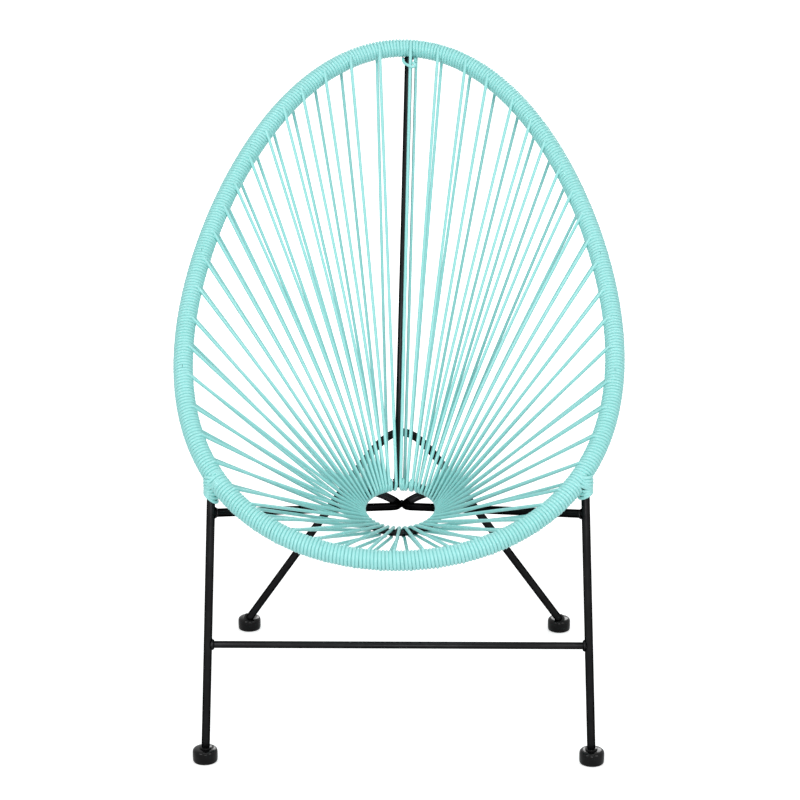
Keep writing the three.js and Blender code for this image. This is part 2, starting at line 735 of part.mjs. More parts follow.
const wrapStart = lashingEnd();
const sections = [
  ...sectionsOf(backStrands(), BACK_SECTIONS, -lashingBegin(), lashingBegin(), backRib),
  ...sectionsOf(frontStrands(), FRONT_SECTIONS, wrapStart, rimPerimeter - wrapStart, frontRib),
];
sections.forEach((section, i) => {
  addPiece(`seat_cord_section_${String(i + 1).padStart(2, '0')}`, seatSection(section), VINYL);
});

const tie = tiePath();
addPiece('top_knot', cordThrough(tie, spine.behind), VINYL);
printGap('top_knot', tie, TIE_TURN_STEPS);

export default group;
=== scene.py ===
# %% [markdown]
# # A lounge chair strung with vinyl cord
# The real chair is a welded frame of black steel rod under an egg-shaped rim of steel tube. A long
# aqua vinyl cord is wound round the rim, and every ten turns or so it runs down to a small ring, the
# hub, hooks round it and comes back. The measured frame comes in first and stays as it is. The
# visible pieces are modelled over it, in metres. The sitter faces -Y, X runs across and Z is up.

# %% Load the frame and note its box
from math import atan2, cos, pi, radians, sin

import bpy
from mathutils import Matrix, Vector


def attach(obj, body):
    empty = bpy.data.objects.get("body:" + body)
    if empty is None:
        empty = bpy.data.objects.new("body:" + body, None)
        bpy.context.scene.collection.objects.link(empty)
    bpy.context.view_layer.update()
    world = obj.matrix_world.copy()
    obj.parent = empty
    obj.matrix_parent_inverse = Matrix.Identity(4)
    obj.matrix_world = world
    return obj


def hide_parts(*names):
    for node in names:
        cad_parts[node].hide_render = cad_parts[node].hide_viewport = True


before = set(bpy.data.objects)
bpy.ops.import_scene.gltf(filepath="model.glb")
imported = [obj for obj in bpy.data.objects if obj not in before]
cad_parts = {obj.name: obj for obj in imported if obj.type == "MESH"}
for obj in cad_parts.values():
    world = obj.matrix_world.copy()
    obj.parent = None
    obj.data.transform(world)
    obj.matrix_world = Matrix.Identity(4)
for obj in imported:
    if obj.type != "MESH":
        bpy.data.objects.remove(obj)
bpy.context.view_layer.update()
bpy.ops.object.select_all(action="DESELECT")

# %% [markdown]
# ## Shader maths as Python
# Procedural materials are sums of small node operations. They could be wired up node by node, but
# that hides the idea. Here a socket is wrapped in a class that overloads the arithmetic, so that
# `1 - mask` adds a Math node, and every other node comes from one method.


# %% Wrap a socket so that sums add nodes
class Value:
    """A socket that sums can be written with."""

    def __init__(self, sheet, socket):
        self.sheet, self.socket = sheet, socket

    def math(self, operation, first, second):
        return self.sheet.node("ShaderNodeMath", {"operation": operation}, {0: first, 1: second})

    def __add__(self, other):
        return self.math("ADD", self, other)

    def __radd__(self, other):
        return self.math("ADD", other, self)

    def __sub__(self, other):
        return self.math("SUBTRACT", self, other)

    def __rsub__(self, other):
        return self.math("SUBTRACT", other, self)

    def __mul__(self, other):
        return self.math("MULTIPLY", self, other)

    def __rmul__(self, other):
        return self.math("MULTIPLY", other, self)


class Sheet:
    """The node tree of one material."""

    def __init__(self, name):
        self.material = bpy.data.materials.new(name)
        self.material.use_nodes = True
        self.tree = self.material.node_tree
        self.tree.nodes.clear()

    def node(self, kind, settings=None, inputs=None, output=0):
        made = self.tree.nodes.new(kind)
        for setting, value in (settings or {}).items():
            setattr(made, setting, value)
        for socket, value in (inputs or {}).items():
            if isinstance(value, Value):
                self.tree.links.new(value.socket, made.inputs[socket])
            else:
                made.inputs[socket].default_value = value
        return Value(self, made.outputs[output])

    def place(self):
        return self.node("ShaderNodeTexCoord", output="Object")

    def noise(self, scale, detail=2.0, roughness=0.5):
        return self.node("ShaderNodeTexNoise", {}, {"Vector": self.place(), "Scale": scale,
                         "Detail": detail, "Roughness": roughness})

    def spread(self, value, low, high):
        """0 at the low value, 1 at the high one."""
        return self.node("ShaderNodeMapRange", {"clamp": True},
                         {"Value": value, "From Min": low, "From Max": high})

    def blend(self, share, first, second):
        """From the first colour to the second as the share goes from 0 to 1."""
        return self.node("ShaderNodeMix", {"data_type": "RGBA"},
                         {"Factor": share, "A": (*first, 1), "B": (*second, 1)}, output="Result")

    def bump(self, height, strength, distance):
        return self.node("ShaderNodeBump", {}, {"Height": height, "Strength": strength,
                         "Distance": distance})

    def surface(self, **sockets):
        inputs = {name.replace("_", " "): value for name, value in sockets.items()}
        return self.finish(self.node("ShaderNodeBsdfPrincipled", {}, inputs))

    def finish(self, shader):
        output = self.tree.nodes.new("ShaderNodeOutputMaterial")
        self.tree.links.new(shader.socket, output.inputs["Surface"])
        return self.material


print("shader helpers ready")

# %% [markdown]
# ## Vinyl cord
# Soft PVC is evenly coloured and glossy, with a slight skin from the extruder. Up close its colour
# drifts a little from length to length, and handling dulls it in places. One flat colour would look
# painted on, so the colour mixes two near tones over a slow noise. A finer noise varies the roughness
# and lifts the surface by hundredths of a millimetre.

# %% Aqua vinyl
AQUA_DEEP, AQUA_LIGHT = (0.302, 0.692, 0.668), (0.330, 0.714, 0.700)


def vinyl_material():
    sheet = Sheet("aqua_vinyl")
    drift = sheet.spread(sheet.noise(scale=9.0), 0.3, 0.7)
    grain = sheet.noise(scale=900.0, detail=3.0, roughness=0.6)
    handling = sheet.spread(sheet.noise(scale=45.0, detail=3.0), 0.35, 0.75)
    return sheet.surface(Base_Color=sheet.blend(drift, AQUA_DEEP, AQUA_LIGHT), IOR=1.5,
                         Roughness=0.21 + 0.06 * handling + 0.05 * grain,
                         Normal=sheet.bump(grain, strength=0.12, distance=0.0002))


vinyl = vinyl_material()
print("made", vinyl.name)

# %% [markdown]
# ## Black steel and black plastic
# The rods are powder coated: a satin black skin with a very fine orange peel. A plain glossy shader
# would mirror the white room along both edges of a thin rod and make it look thinner. So the coat is
# a metal shader with a dark edge tint, which keeps the edges black. The foot caps are moulded
# plastic, darker and smoother, with faint scuffs and the fine grain of the mould.

# %% Satin black coat and moulded caps
COAT_BLACK, COAT_DUSTY, COAT_EDGE = (0.018, 0.018, 0.0188), (0.027, 0.027, 0.028), (0.05, 0.05, 0.05, 1)
CAP_BLACK, CAP_SCUFFED = (0.003, 0.003, 0.0032), (0.008, 0.008, 0.0085)


def steel_material():
    sheet = Sheet("satin_black_steel")
    peel = sheet.noise(scale=420.0)
    dust = sheet.spread(sheet.noise(scale=30.0, detail=4.0, roughness=0.6), 0.45, 0.8)
    return sheet.surface(Base_Color=sheet.blend(dust, COAT_BLACK, COAT_DUSTY), Metallic=1.0,
                         Specular_Tint=COAT_EDGE, Roughness=0.3 + 0.1 * dust,
                         Normal=sheet.bump(peel, strength=0.15, distance=0.0004))


def cap_material():
    sheet = Sheet("black_moulded_plastic")
    grain = sheet.noise(scale=1400.0, roughness=0.6)
    scuff = sheet.spread(sheet.noise(scale=80.0, detail=4.0, roughness=0.6), 0.5, 0.8)
    return sheet.surface(Base_Color=sheet.blend(scuff, CAP_BLACK, CAP_SCUFFED),
                         Specular_IOR_Level=0.17, Roughness=0.1 + 0.12 * scuff,
                         Normal=sheet.bump(grain, strength=0.15, distance=0.0002))


steel, cap_plastic = steel_material(), cap_material()
print("made", steel.name, "and", cap_plastic.name)

# %% [markdown]
# ## Making and finishing a piece
# Cords and bent rods keep one round section all along. They could be swept by hand with extrude and
# rotate, but a curve does it better: its route is a row of points, and a round bevel gives it
# thickness. Whatever a piece starts from, it ends as a mesh whose object sits at the origin, with
# smooth shading, one material, its body and its material slot.

# %% Helpers to sweep, finish and join
MILLI = 0.001


def swept(name, routes, radius, sides):
    """One curve object with a round section along each route; the number of sides is even."""
    curve = bpy.data.curves.new(name, "CURVE")
    curve.dimensions, curve.bevel_depth = "3D", radius
    curve.bevel_resolution, curve.use_fill_caps = (sides - 4) // 2, True
    for route in routes:
        spline = curve.splines.new("POLY")
        spline.points.add(len(route) - 1)
        for point, place in zip(spline.points, route):
            point.co = (*place, 1)
    piece = bpy.data.objects.new(name, curve)
    bpy.context.scene.collection.objects.link(piece)
    return piece


def settle(piece, name, material, smooth_angle=40):
    bpy.ops.object.select_all(action="DESELECT")
    piece.select_set(True)
    bpy.context.view_layer.objects.active = piece
    if piece.type != "MESH":
        bpy.ops.object.convert(target="MESH")
        piece = bpy.context.view_layer.objects.active
    bpy.ops.object.transform_apply(location=True, rotation=True, scale=True)
    piece.name = piece.data.name = name
    piece.data.materials.clear()
    piece.data.materials.append(material)
    bpy.ops.object.shade_smooth_by_angle(angle=radians(smooth_angle))
    piece.select_set(False)
    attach(piece, "root")
    return piece


def joined(*pieces):
    """Turn the pieces into meshes and join them into the first."""
    bpy.ops.object.select_all(action="DESELECT")
    for piece in pieces:
        piece.select_set(True)
    bpy.context.view_layer.objects.active = pieces[0]
    bpy.ops.object.convert(target="MESH")
    bpy.ops.object.join()
    return bpy.context.view_layer.objects.active


def triangles(piece):
    return sum(len(face.vertices) - 2 for face in piece.data.polygons)


print("finishing helpers ready")

# %% [markdown]
# ## The rim's centre line
# Everything on the chair hangs on this curve. It could be drawn by eye, but then the cord's turns
# would not come out even. So it is a formula: an ellipse that narrows towards the top, leaning back.
# Places on it are given by their length round it from the top, in metres, positive towards +X,
# because the cord's turns are counted that way.

# %% The egg and places along it
RIM_LENGTH, RIM_WIDTH, RIM_CENTRE_HEIGHT = 0.9531, 0.6463, 0.6506
RIM_TILT = radians(37.8)
RIM_TUBE_RADIUS = 0.0095
EGG_TAPER, EGG_FULLNESS = 0.2045, 0.0412
EGG_SAMPLES = 1440
rim_uphill = Vector((0, cos(RIM_TILT), sin(RIM_TILT)))
rim_face = Vector((0, -sin(RIM_TILT), cos(RIM_TILT)))


def egg_point(angle):
    taper = 1 - EGG_TAPER * cos(angle) + EGG_FULLNESS * cos(2 * angle)
    across = Vector((RIM_WIDTH / 2 * sin(angle) * taper, 0, RIM_CENTRE_HEIGHT))
    return across + rim_uphill * (RIM_LENGTH / 2 * cos(angle))


egg_lengths = [0.0]
for i in range(EGG_SAMPLES):
    step = egg_point(2 * pi * (i + 1) / EGG_SAMPLES) - egg_point(2 * pi * i / EGG_SAMPLES)
    egg_lengths.append(egg_lengths[-1] + step.length)
RIM_PERIMETER = egg_lengths[-1]


def rim_at(length):
    """The point, tangent and outward direction at a length round the rim from its top."""
    wanted = length % RIM_PERIMETER
    low, high = 0, EGG_SAMPLES
    while high - low > 1:
        middle = (low + high) // 2
        if egg_lengths[middle] <= wanted:
            low = middle
        else:
            high = middle
    part = (wanted - egg_lengths[low]) / (egg_lengths[high] - egg_lengths[low])
    angle = 2 * pi * (low + part) / EGG_SAMPLES
    nudge = pi / EGG_SAMPLES
    tangent = (egg_point(angle + nudge) - egg_point(angle - nudge)).normalized()
    return egg_point(angle), tangent, rim_face.cross(tangent).normalized()


print("rim perimeter", round(RIM_PERIMETER, 4), "m")

# %% The hub ring's places, by angle
HUB_RADIUS, HUB_ROD_RADIUS = 0.0626, 0.005
HUB_CENTRE = Vector((0, -0.0397, 0.3117))
HUB_TILT = radians(15.8)
hub_back = Vector((0, cos(HUB_TILT), sin(HUB_TILT)))
hub_up = Vector((0, -sin(HUB_TILT), cos(HUB_TILT)))


def hub_at(angle):
    """The point, tangent and outward direction. Angle 0 is towards +X, a quarter turn to the back."""
    outward = Vector((cos(angle), 0, 0)) + hub_back * sin(angle)
    tangent = Vector((-sin(angle), 0, 0)) + hub_back * cos(angle)
    return HUB_CENTRE + outward * HUB_RADIUS, tangent, outward


print("hub centre", tuple(round(v, 4) for v in HUB_CENTRE))

# %% [markdown]
# ## The cord
# The real cord winds round the rim in a helix. Where a strand leaves, the cord lifts off the rim's
# front face along the line to the hub, passes over the hub ring, turns round its inner side and comes
# back underneath to the rim's rear face, where it falls in with the turns again. Straight sticks
# would show loose ends, so each strand is a route of its own that starts inside one turn of the helix
# and ends inside another, and it looks as if it grew out of the wrap.

# %% Cord sizes
CORD_RADIUS = 0.0025
PRESSED_RADIUS = 0.00275
CLEARANCE, HUB_CLEARANCE = 0.0001, 0.0002
TURN_PITCH, TURN_STEPS = 0.00523, 20
WRAP_RADIUS = RIM_TUBE_RADIUS + CORD_RADIUS + CLEARANCE
HUB_CORD_RADIUS = HUB_ROD_RADIUS + CORD_RADIUS + HUB_CLEARANCE
print("cord diameter", 2 * CORD_RADIUS, "turns round the rim:", round(RIM_PERIMETER / TURN_PITCH))

# %% A turn of the wrap and a soft bend between two directions
BEND_REACH, BEND_STEPS = 0.42, 6


def wrap_point(length, angle, radius=WRAP_RADIUS):
    """Angle 0 is the rim's front face, a quarter turn its inner side and half a turn its rear."""
    point, tangent, outward = rim_at(length)
    return point + rim_face * (radius * cos(angle)) - outward * (radius * sin(angle))


def wrap_heading(length, angle):
    """The way the cord runs at that place of a turn."""
    outward = rim_at(length)[2]
    return (-rim_face * sin(angle) - outward * cos(angle)).normalized()


def cubic(a, b, c, d, steps):
    """Points along a Bezier curve."""
    return [a * (1 - t) ** 3 + b * (3 * t * (1 - t) ** 2) + c * (3 * t * t * (1 - t)) + d * t ** 3
            for t in (i / steps for i in range(steps + 1))]


def soft_bend(start, start_heading, end, end_heading):
    reach = (end - start).length * BEND_REACH
    return cubic(start, start + start_heading * reach, end - end_heading * reach, end, BEND_STEPS)


bend = soft_bend(wrap_point(0, 0), wrap_heading(0, 0), hub_at(0)[0], hub_up)
print("a bend has", len(bend), "points")

# %% Where a strand touches the rim and the hub
FRONT_LIFT, REAR_LIFT = 0.0019, 0.0009


def touching_side(tangent, along, upward, face):
    """Square to the rod and to the strand, on the face that the strand lies on."""
    side = tangent.cross(along).normalized()
    return -side if side.dot(upward) * face < 0 else side


def strand_run(length, angle, face):
    """The straight run between the rim's wrap and the hub's rod on one face, rim end first."""
    rim_point, rim_tangent, rim_outward = rim_at(length)
    hub_point, hub_tangent, _ = hub_at(angle)
    along = (hub_point - rim_point).normalized()
    rim_side = touching_side(rim_tangent, along, rim_face, face)
    hub_side = touching_side(hub_tangent, along, hub_up, face)
    rim_angle = atan2(-rim_side.dot(rim_outward), rim_side.dot(rim_face)) % (2 * pi)
    start = rim_point + rim_side * (WRAP_RADIUS + (FRONT_LIFT if face > 0 else REAR_LIFT))
    return start, rim_angle, hub_point + hub_side * HUB_CORD_RADIUS, hub_side


top_run = strand_run(0, pi / 2, 1)
print("run from the rim's top to the hub:", round((top_run[2] - top_run[0]).length, 3), "m")

# %% One strand: rim to hub, round it and back
HOOK_STEPS = 12
FRONT_PEEL, REAR_PEEL = 0.55, 0.3


def sign(value):
    return -1 if value < 0 else 1


def hook_angle(angle, side):
    outward = hub_at(angle)[2]
    turn = atan2(-side.dot(outward), side.dot(hub_up))
    return turn + 2 * pi if turn < -pi / 2 else turn


def hub_hook(strand, first_side, last_side):
    """Over the ring, round its inner side and under it, sliding along it on the way."""
    start_angle, end_angle = strand["hub_start"], strand["hub_end"]
    first = hook_angle(start_angle, first_side)
    last = hook_angle(end_angle, last_side) + 2 * pi * strand["extra_turns"]
    steps, points = HOOK_STEPS + TURN_STEPS * strand["extra_turns"], []
    for i in range(steps + 1):
        share = i / steps
        slide = sign(end_angle - start_angle) * strand["slide"] * sin(pi * share) ** 2
        point, _, outward = hub_at(start_angle + (end_angle - start_angle) * share + slide)
        turn = first + (last - first) * share
        points.append(point + hub_up * (HUB_CORD_RADIUS * cos(turn))
                      - outward * (HUB_CORD_RADIUS * sin(turn)))
    return points


def strand_route(strand):
    """From a turn on the rim's front face to the hub, and back to a turn on its rear."""
    rim_top, top_angle, hub_top, first_side = strand_run(strand["start"], strand["hub_start"], 1)
    rim_low, low_angle, hub_low, last_side = strand_run(strand["end"], strand["hub_end"], -1)
    leave_angle, back_angle = top_angle - FRONT_PEEL, low_angle + REAR_PEEL
    leave = strand["leave_turn"] + TURN_PITCH * leave_angle / (2 * pi)
    back = strand["back_turn"] + TURN_PITCH * back_angle / (2 * pi)
    route = soft_bend(wrap_point(leave, leave_angle), wrap_heading(leave, leave_angle), rim_top,
                      (hub_top - rim_top).normalized())
    route += hub_hook(strand, first_side, last_side)
    route += soft_bend(rim_low, (rim_low - hub_low).normalized(), wrap_point(back, back_angle),
                       wrap_heading(back, back_angle))
    return route


print("strand helpers ready")

# %% [markdown]
# ## Where the strands leave the rim and meet the hub
# The strands of the back and sides are spaced almost evenly between the two front legs, and those of
# the seat's front stand closer. Each comes back to the rim a turn or more further on. Under the spine
# the returns part to let it through. A formula would be shorter for the back, but hand work is never
# quite even, so its places are tables and only the front is a formula.

# %% Strands of the back and sides, in millimetres along the rim and degrees round the hub
BACK_LEAVE = [-940, -889, -837, -781, -727, -674, -617, -566, -513, -459, -410, -353, -299, -244,
              -198, -143, -93, -40, 13, 57, 109, 159, 221, 271, 323, 378, 430, 478, 523, 571, 622,
              676, 728, 788, 837, 889, 944]
BACK_RETURN = [-947, -897, -847, -796, -747, -690, -640, -583, -532, -480, -428, -371, -316, -263,
               -212, -158, -103, -44, 19, 59, 113, 166, 222, 272, 325, 378, 436, 488, 537, 586, 640,
               691, 750, 798, 849, 903, 947]
HUB_LEAVE = [205.5, 201, 196.5, 192, 187, 181, 174.5, 167, 159, 150, 141, 134, 128.5, 123, 118,
             113.2, 107.8, 97, 90.5, 80.5, 72, 66.5, 61, 54, 46.5, 40, 32.3, 23.5, 14.5, 7, 0.8,
             -4.4, -9.2, -13.8, -18.2, -22.6, -27]
HUB_RETURN = [199, 194, 189, 184, 178.5, 173, 166.5, 160, 153, 147, 141, 134.5, 129, 124, 120, 116,
              112, 107.5, 85.8, 82.3, 75.5, 66, 60, 54.1, 47, 40.5, 35, 30, 25.5, 21.5, 17, 13, 9, 5,
              1, -4, -10]
TWICE_ROUND = (17, 18, 20)
BACK_SLIDE = radians(1.2)


def back_strands():
    strands = []
    for i, (leave, back, first, last) in enumerate(zip(BACK_LEAVE, BACK_RETURN, HUB_LEAVE, HUB_RETURN)):
        strands.append({"start": leave * MILLI, "end": back * MILLI, "hub_start": radians(first),
                        "hub_end": radians(last), "extra_turns": int(i in TWICE_ROUND),
                        "slide": BACK_SLIDE})
    return strands


print("strands behind the legs:", len(back_strands()))

# %% Strands of the seat's front, counted from its middle
FRONT_EACH_WAY = 7
FRONT_SPACING, FRONT_RETURN_STEP, FRONT_REACH = 0.0382, 0.0191, 1.0001
FRONT_HUB_SPACING, FRONT_HUB_STEP, FRONT_SLIDE = 8.55, radians(2.2), radians(4.2)


def front_strands():
    strands = []
    for k in range(-FRONT_EACH_WAY, FRONT_EACH_WAY + 1):
        start = RIM_PERIMETER / 2 + FRONT_SPACING * k
        end = min(start + FRONT_RETURN_STEP, RIM_PERIMETER - FRONT_REACH)
        hub_start = radians(-90 - FRONT_HUB_SPACING * k)
        strands.append({"start": start, "end": end, "hub_start": hub_start,
                        "hub_end": hub_start - FRONT_HUB_STEP, "extra_turns": 0,
                        "slide": FRONT_SLIDE})
    return strands


print("strands in front of the legs:", len(front_strands()))

# %% [markdown]
# ## Winding and stringing
# The measured frame holds the cord as twelve sections, nine behind the legs and three in front, that
# meet end to end but for the two lashings. One mesh could hold every turn, but then it could not
# stand for each section. So a piece is one section: a helix and its strands, made as two curves and
# joined. The turns are a little thicker than the strands, so that they press against each other as a
# tight winding does.

# %% Wind a stretch of the rim and string its strands
LEAVE_SHARE, BACK_SHARE = 0.08, 0.58
STRAY, RISE = 0.00012, 0.00008


def wind(start, end, strands):
    """A route for the turns on a stretch of the rim, and one for each of its strands."""
    turns = max(1, round((end - start) / TURN_PITCH))
    pitch = (end - start) / turns
    for strand in strands:
        for place, turn_key, share in (("start", "leave_turn", LEAVE_SHARE),
                                       ("end", "back_turn", BACK_SHARE)):
            turn = min(max(round((strand[place] - start) / pitch - share), 1), turns - 2)
            strand[turn_key] = start + pitch * turn
            strand[place] = strand[turn_key] + pitch * share
    steps = turns * TURN_STEPS
    helix = [turn_point(start, pitch, i / TURN_STEPS, turns) for i in range(steps + 1)]
    return helix, [strand_route(strand) for strand in strands]


def turn_point(start, pitch, turn, turns):
    """A point of the winding. No two turns lie quite alike: each strays by a tenth of a millimetre."""
    stray = STRAY * sin(5.1 * turn + 3.0 * sin(1.7 * turn)) * sin(pi * turn / turns)
    rise = RISE * sin(2.3 * turn + 2.0 * sin(0.9 * turn))
    return wrap_point(start + pitch * turn + stray, 2 * pi * (turn % 1), WRAP_RADIUS + rise)


def sections_of(strands, count, start, end):
    """Share the strands out over sections that meet halfway between two strands."""
    sections, here = [], start
    for i in range(count):
        first, last = round(len(strands) * i / count), round(len(strands) * (i + 1) / count)
        own, meet = strands[first:last], end
        if last < len(strands):
            near, far = own[-1], strands[last]
            meet = (max(near["start"], near["end"]) + min(far["start"], far["end"])) / 2
        sections.append((here, meet, own))
        here = meet
    return sections


print("winding helpers ready")

# %% Make the twelve cord sections
LASHING_BEGIN, LASHING_END = 0.9625, 0.9725
WRAP_SIDES, STRAND_SIDES = 8, 10

sections = sections_of(back_strands(), 9, -LASHING_BEGIN, LASHING_BEGIN)
sections += sections_of(front_strands(), 3, LASHING_END, RIM_PERIMETER - LASHING_END)
cord_pieces = []
for number, (start, end, own) in enumerate(sections, 1):
    node = f"seat_cord_section_{number:02d}"
    helix, runs = wind(start, end, own)
    wrap = swept("wrap", [helix], PRESSED_RADIUS, WRAP_SIDES)
    strands = swept("strands", runs, CORD_RADIUS, STRAND_SIDES)
    piece = settle(joined(wrap, strands), f"strung_cord_{number:02d}", vinyl, 80)
    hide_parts(node)
    cord_pieces.append(piece)
print("cord sections:", [triangles(piece) for piece in cord_pieces])

# %% [markdown]
# ## Rods
# The frame is cut from steel rod. A straight rod starts as a cylinder primitive between two points,
# turned to their line, and its ends are bevelled, as a saw cut is before welding. A sweep would do
# too, but it leaves sharp ends.

# %% A straight rod between two points
ROD_RADIUS, ROD_SIDES, ROD_CHAMFER = 0.0062, 32, 0.0006


def rod_between(start, end, radius, sides=ROD_SIDES):
    line = end - start
    bpy.ops.object.select_all(action="DESELECT")
    bpy.ops.mesh.primitive_cylinder_add(vertices=sides, radius=radius, depth=line.length,
                                        location=(start + end) / 2,
                                        rotation=line.to_track_quat("Z", "Y").to_euler())
    bpy.ops.object.mode_set(mode="EDIT")
    bpy.ops.mesh.select_all(action="SELECT")
    bpy.ops.mesh.bevel(offset=ROD_CHAMFER, segments=2, affect="EDGES", clamp_overlap=True)
    bpy.ops.object.mode_set(mode="OBJECT")
    return bpy.context.view_layer.objects.active


print("rod diameter", 2 * ROD_RADIUS)

# %% Where the front legs run
LEG_PLACE = 0.958
HEAD_OUT, HEAD_FORWARD, HEAD_LEAN = 0.0053, 0.0049, 0.0016
FRONT_FOOT_X = 0.285
leg_point = rim_at(LEG_PLACE)[0]


def leg_head(side):
    """The leg's upper end, outside and in front of the rim's tube."""
    return Vector((side * (leg_point.x + HEAD_OUT) + HEAD_LEAN, leg_point.y - HEAD_FORWARD, leg_point.z))


def leg_at(side, height):
    head = leg_head(side)
    foot = Vector((side * FRONT_FOOT_X, head.y, 0))
    return foot.lerp(head, height / head.z)


print("leg head", tuple(round(v, 4) for v in leg_head(1)))

# %% Where the spine and the rear arch run
SPINE_LEAN_LOW, SPINE_LEAN_HIGH, SPINE_SET_BACK = -0.005, 0.0085, 0.005
CROWN_HEIGHT, CROWN_GAP = 0.394, 0.0003
REAR_FOOT_Y, REAR_CAP_X = 0.2278, 0.2564
ARCH_FOOT_X, ARCH_SHOULDER_X, ARCH_SHOULDER_HEIGHT = 0.2695, 0.0695, 0.323


def spine_line():
    """Its two ends on the centre lines of hub and rim, its direction and the way behind it."""
    hub, head = hub_at(pi / 2)[0], rim_at(0)[0]
    upright = (head - hub).normalized()
    behind = Vector((0, upright.z, -upright.y))
    low = hub + behind * SPINE_SET_BACK + Vector((SPINE_LEAN_LOW, 0, 0))
    high = head + behind * SPINE_SET_BACK + Vector((SPINE_LEAN_HIGH, 0, 0))
    return low, high, (high - low).normalized(), behind


spine_low, spine_high, spine_along, spine_behind = spine_line()
crown = spine_low + spine_behind * (2 * ROD_RADIUS + CROWN_GAP)
crown = crown + spine_along * ((CROWN_HEIGHT - crown.z) / spine_along.z)
crown.x = 0


def arch_point(x, height):
    """A place in the leaning plane that the rear arch is bent in."""
    return Vector((x, REAR_FOOT_Y + (crown.y - REAR_FOOT_Y) * height / crown.z, height))


def arch_leg_at(side, height):
    """The rear legs lean in steeply, and each goes into the middle of its cap's top."""
    foot, shoulder = (arch_point(side * ARCH_FOOT_X, 0),
                      arch_point(side * ARCH_SHOULDER_X, ARCH_SHOULDER_HEIGHT))
    return foot.lerp(shoulder, height / ARCH_SHOULDER_HEIGHT)


def rear_cap_at(side):
    return arch_point(side * REAR_CAP_X, 0)


print("crown of the arch", tuple(round(v, 4) for v in crown))

# %% [markdown]
# ## Front legs, stretcher and spine
# Each is a straight length of rod. The front legs stand in their caps and end at the rim. The
# stretcher is of thinner rod, and it joins the legs below the seat. The spine runs from the hub to
# the rim's top and props it from behind. All are made with the helper for straight rods, and their
# ends meet or enter the piece that they are welded to or stand in.

# %% Make the straight rods
FRONT_ROD_END = 0.0053
STRETCHER_HEIGHT, STRETCHER_RADIUS = 0.186, 0.0052
SPINE_TRIM_LOW, SPINE_TRIM_HIGH = 0.008, 0.0105

for name, side in (("left", 1), ("right", -1)):
    leg = rod_between(leg_at(side, FRONT_ROD_END), leg_head(side), ROD_RADIUS)
    leg = settle(leg, f"leg_front_{name}", steel)
    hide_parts(f"front_leg_{name}")

stretcher = rod_between(leg_at(-1, STRETCHER_HEIGHT), leg_at(1, STRETCHER_HEIGHT), STRETCHER_RADIUS)
stretcher = settle(stretcher, "stretcher", steel)
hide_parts("front_stretcher")

spine = rod_between(spine_low + spine_along * SPINE_TRIM_LOW,
                    spine_high - spine_along * SPINE_TRIM_HIGH, ROD_RADIUS)
spine = settle(spine, "spine_rod", steel)
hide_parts("back_spine")
print("straight rods:", triangles(leg), triangles(stretcher), triangles(spine))

# %% [markdown]
# ## Bent rods
# The rear legs are one rod bent to an arch, and each seat brace is bent once, from the front leg to
# the arch behind. Spinning a circle could make the bends, but they are not true arcs. A row of points
# along the bend, swept with a round section, keeps the even thickness that a bender leaves.

# %% The rear arch
ARCH_ROD_END = 0.009
CROWN_STEPS = 40

lift_height = CROWN_HEIGHT + (CROWN_HEIGHT - ARCH_SHOULDER_HEIGHT) / 3
crown_bend = cubic(arch_leg_at(-1, ARCH_SHOULDER_HEIGHT), arch_leg_at(-1, lift_height),
                   arch_leg_at(1, lift_height), arch_leg_at(1, ARCH_SHOULDER_HEIGHT), CROWN_STEPS)
arch_route = [arch_leg_at(-1, ARCH_ROD_END), *crown_bend, arch_leg_at(1, ARCH_ROD_END)]
arch = swept("arch", [arch_route], ROD_RADIUS, ROD_SIDES)
arch = settle(arch, "rear_arch", steel)
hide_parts("rear_leg_arch")
print("arch:", triangles(arch), "triangles")

# %% The two seat braces
BRACE_FRONT_HEIGHT, BRACE_REAR_HEIGHT = 0.39, 0.298
BRACE_CORNER = Vector((0, 0.082, 0.2705))
BRACE_BEND, BRACE_BEND_STEPS, BRACE_GAP = 0.042, 16, 0.0002


def brace_points(side):
    """Front leg to arch, with a soft corner that nearly touches the other brace's."""
    front, rear = leg_at(side, BRACE_FRONT_HEIGHT), arch_leg_at(side, BRACE_REAR_HEIGHT)
    start = BRACE_CORNER + (front - BRACE_CORNER).normalized() * BRACE_BEND
    end = BRACE_CORNER + (rear - BRACE_CORNER).normalized() * BRACE_BEND
    bend = [start.lerp(BRACE_CORNER, t).lerp(BRACE_CORNER.lerp(end, t), t)
            for t in (i / BRACE_BEND_STEPS for i in range(BRACE_BEND_STEPS + 1))]
    shift = side * (ROD_RADIUS + BRACE_GAP) - bend[BRACE_BEND_STEPS // 2].x
    return [front] + [point + Vector((shift, 0, 0)) for point in bend] + [rear]


for name, side in (("left", 1), ("right", -1)):
    brace = swept("brace", [brace_points(side)], ROD_RADIUS, ROD_SIDES)
    brace = settle(brace, f"seat_brace_{name}", steel)
    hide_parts(f"brace_{name}")
print("brace:", triangles(brace), "triangles")

# %% [markdown]
# ## The hub ring
# The hub is a ring of thinner rod, bent round and closed with a weld. A torus primitive gives the
# ring. The weld is modelled on it: one ring of points at the seam is raised along its normals and
# then roughened, which keeps the surface closed where an extra bead would cut into it.

# %% Bend the ring and raise its seam
HUB_SEAM, SEAM_HALF_WIDTH = radians(101.25), radians(1.5)
SEAM_HEIGHT, SEAM_ROUGHNESS = 0.0008, 0.0002


def near_seam(place):
    across = place - HUB_CENTRE
    angle = atan2(across.dot(hub_back), across.x)
    return abs(angle - HUB_SEAM) < SEAM_HALF_WIDTH


